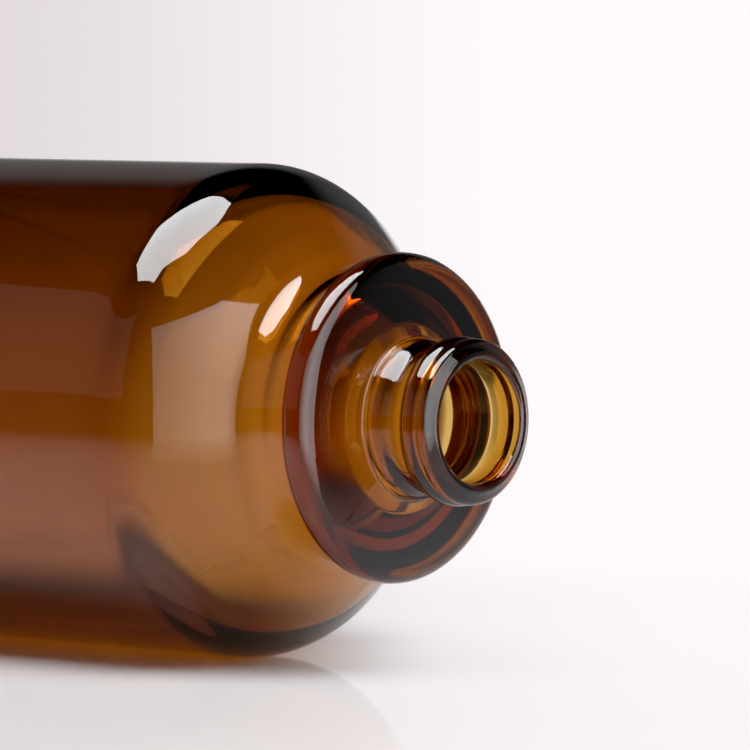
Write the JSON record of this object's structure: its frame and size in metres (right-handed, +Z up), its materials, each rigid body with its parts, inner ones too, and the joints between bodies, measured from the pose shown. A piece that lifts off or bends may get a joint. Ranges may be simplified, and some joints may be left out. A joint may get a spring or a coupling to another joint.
{
  "type": "glass bottle",
  "caption": "Amber glass bottle lying on its side, with a round body, sloping shoulder, wide collar and a short swelling neck that ends in a beaded, open mouth.",
  "frame": {"origin": "middle of the bottle's length, on the line where the body lies on the floor", "axes": "+X along the bottle's axis towards the mouth, +Z up as the bottle lies in the picture"},
  "size_m": [0.125, 0.0596, 0.0595],
  "materials": {
    "amber_glass": "clear amber, polished"
  },
  "bodies": {
    "root": {"base": "amber_glass", "heel": "amber_glass", "body": "amber_glass", "shoulder": "amber_glass", "throat": "amber_glass", "collar": "amber_glass", "neck": "amber_glass", "bead": "amber_glass", "lip": "amber_glass"}
  },
  "joints": []
}
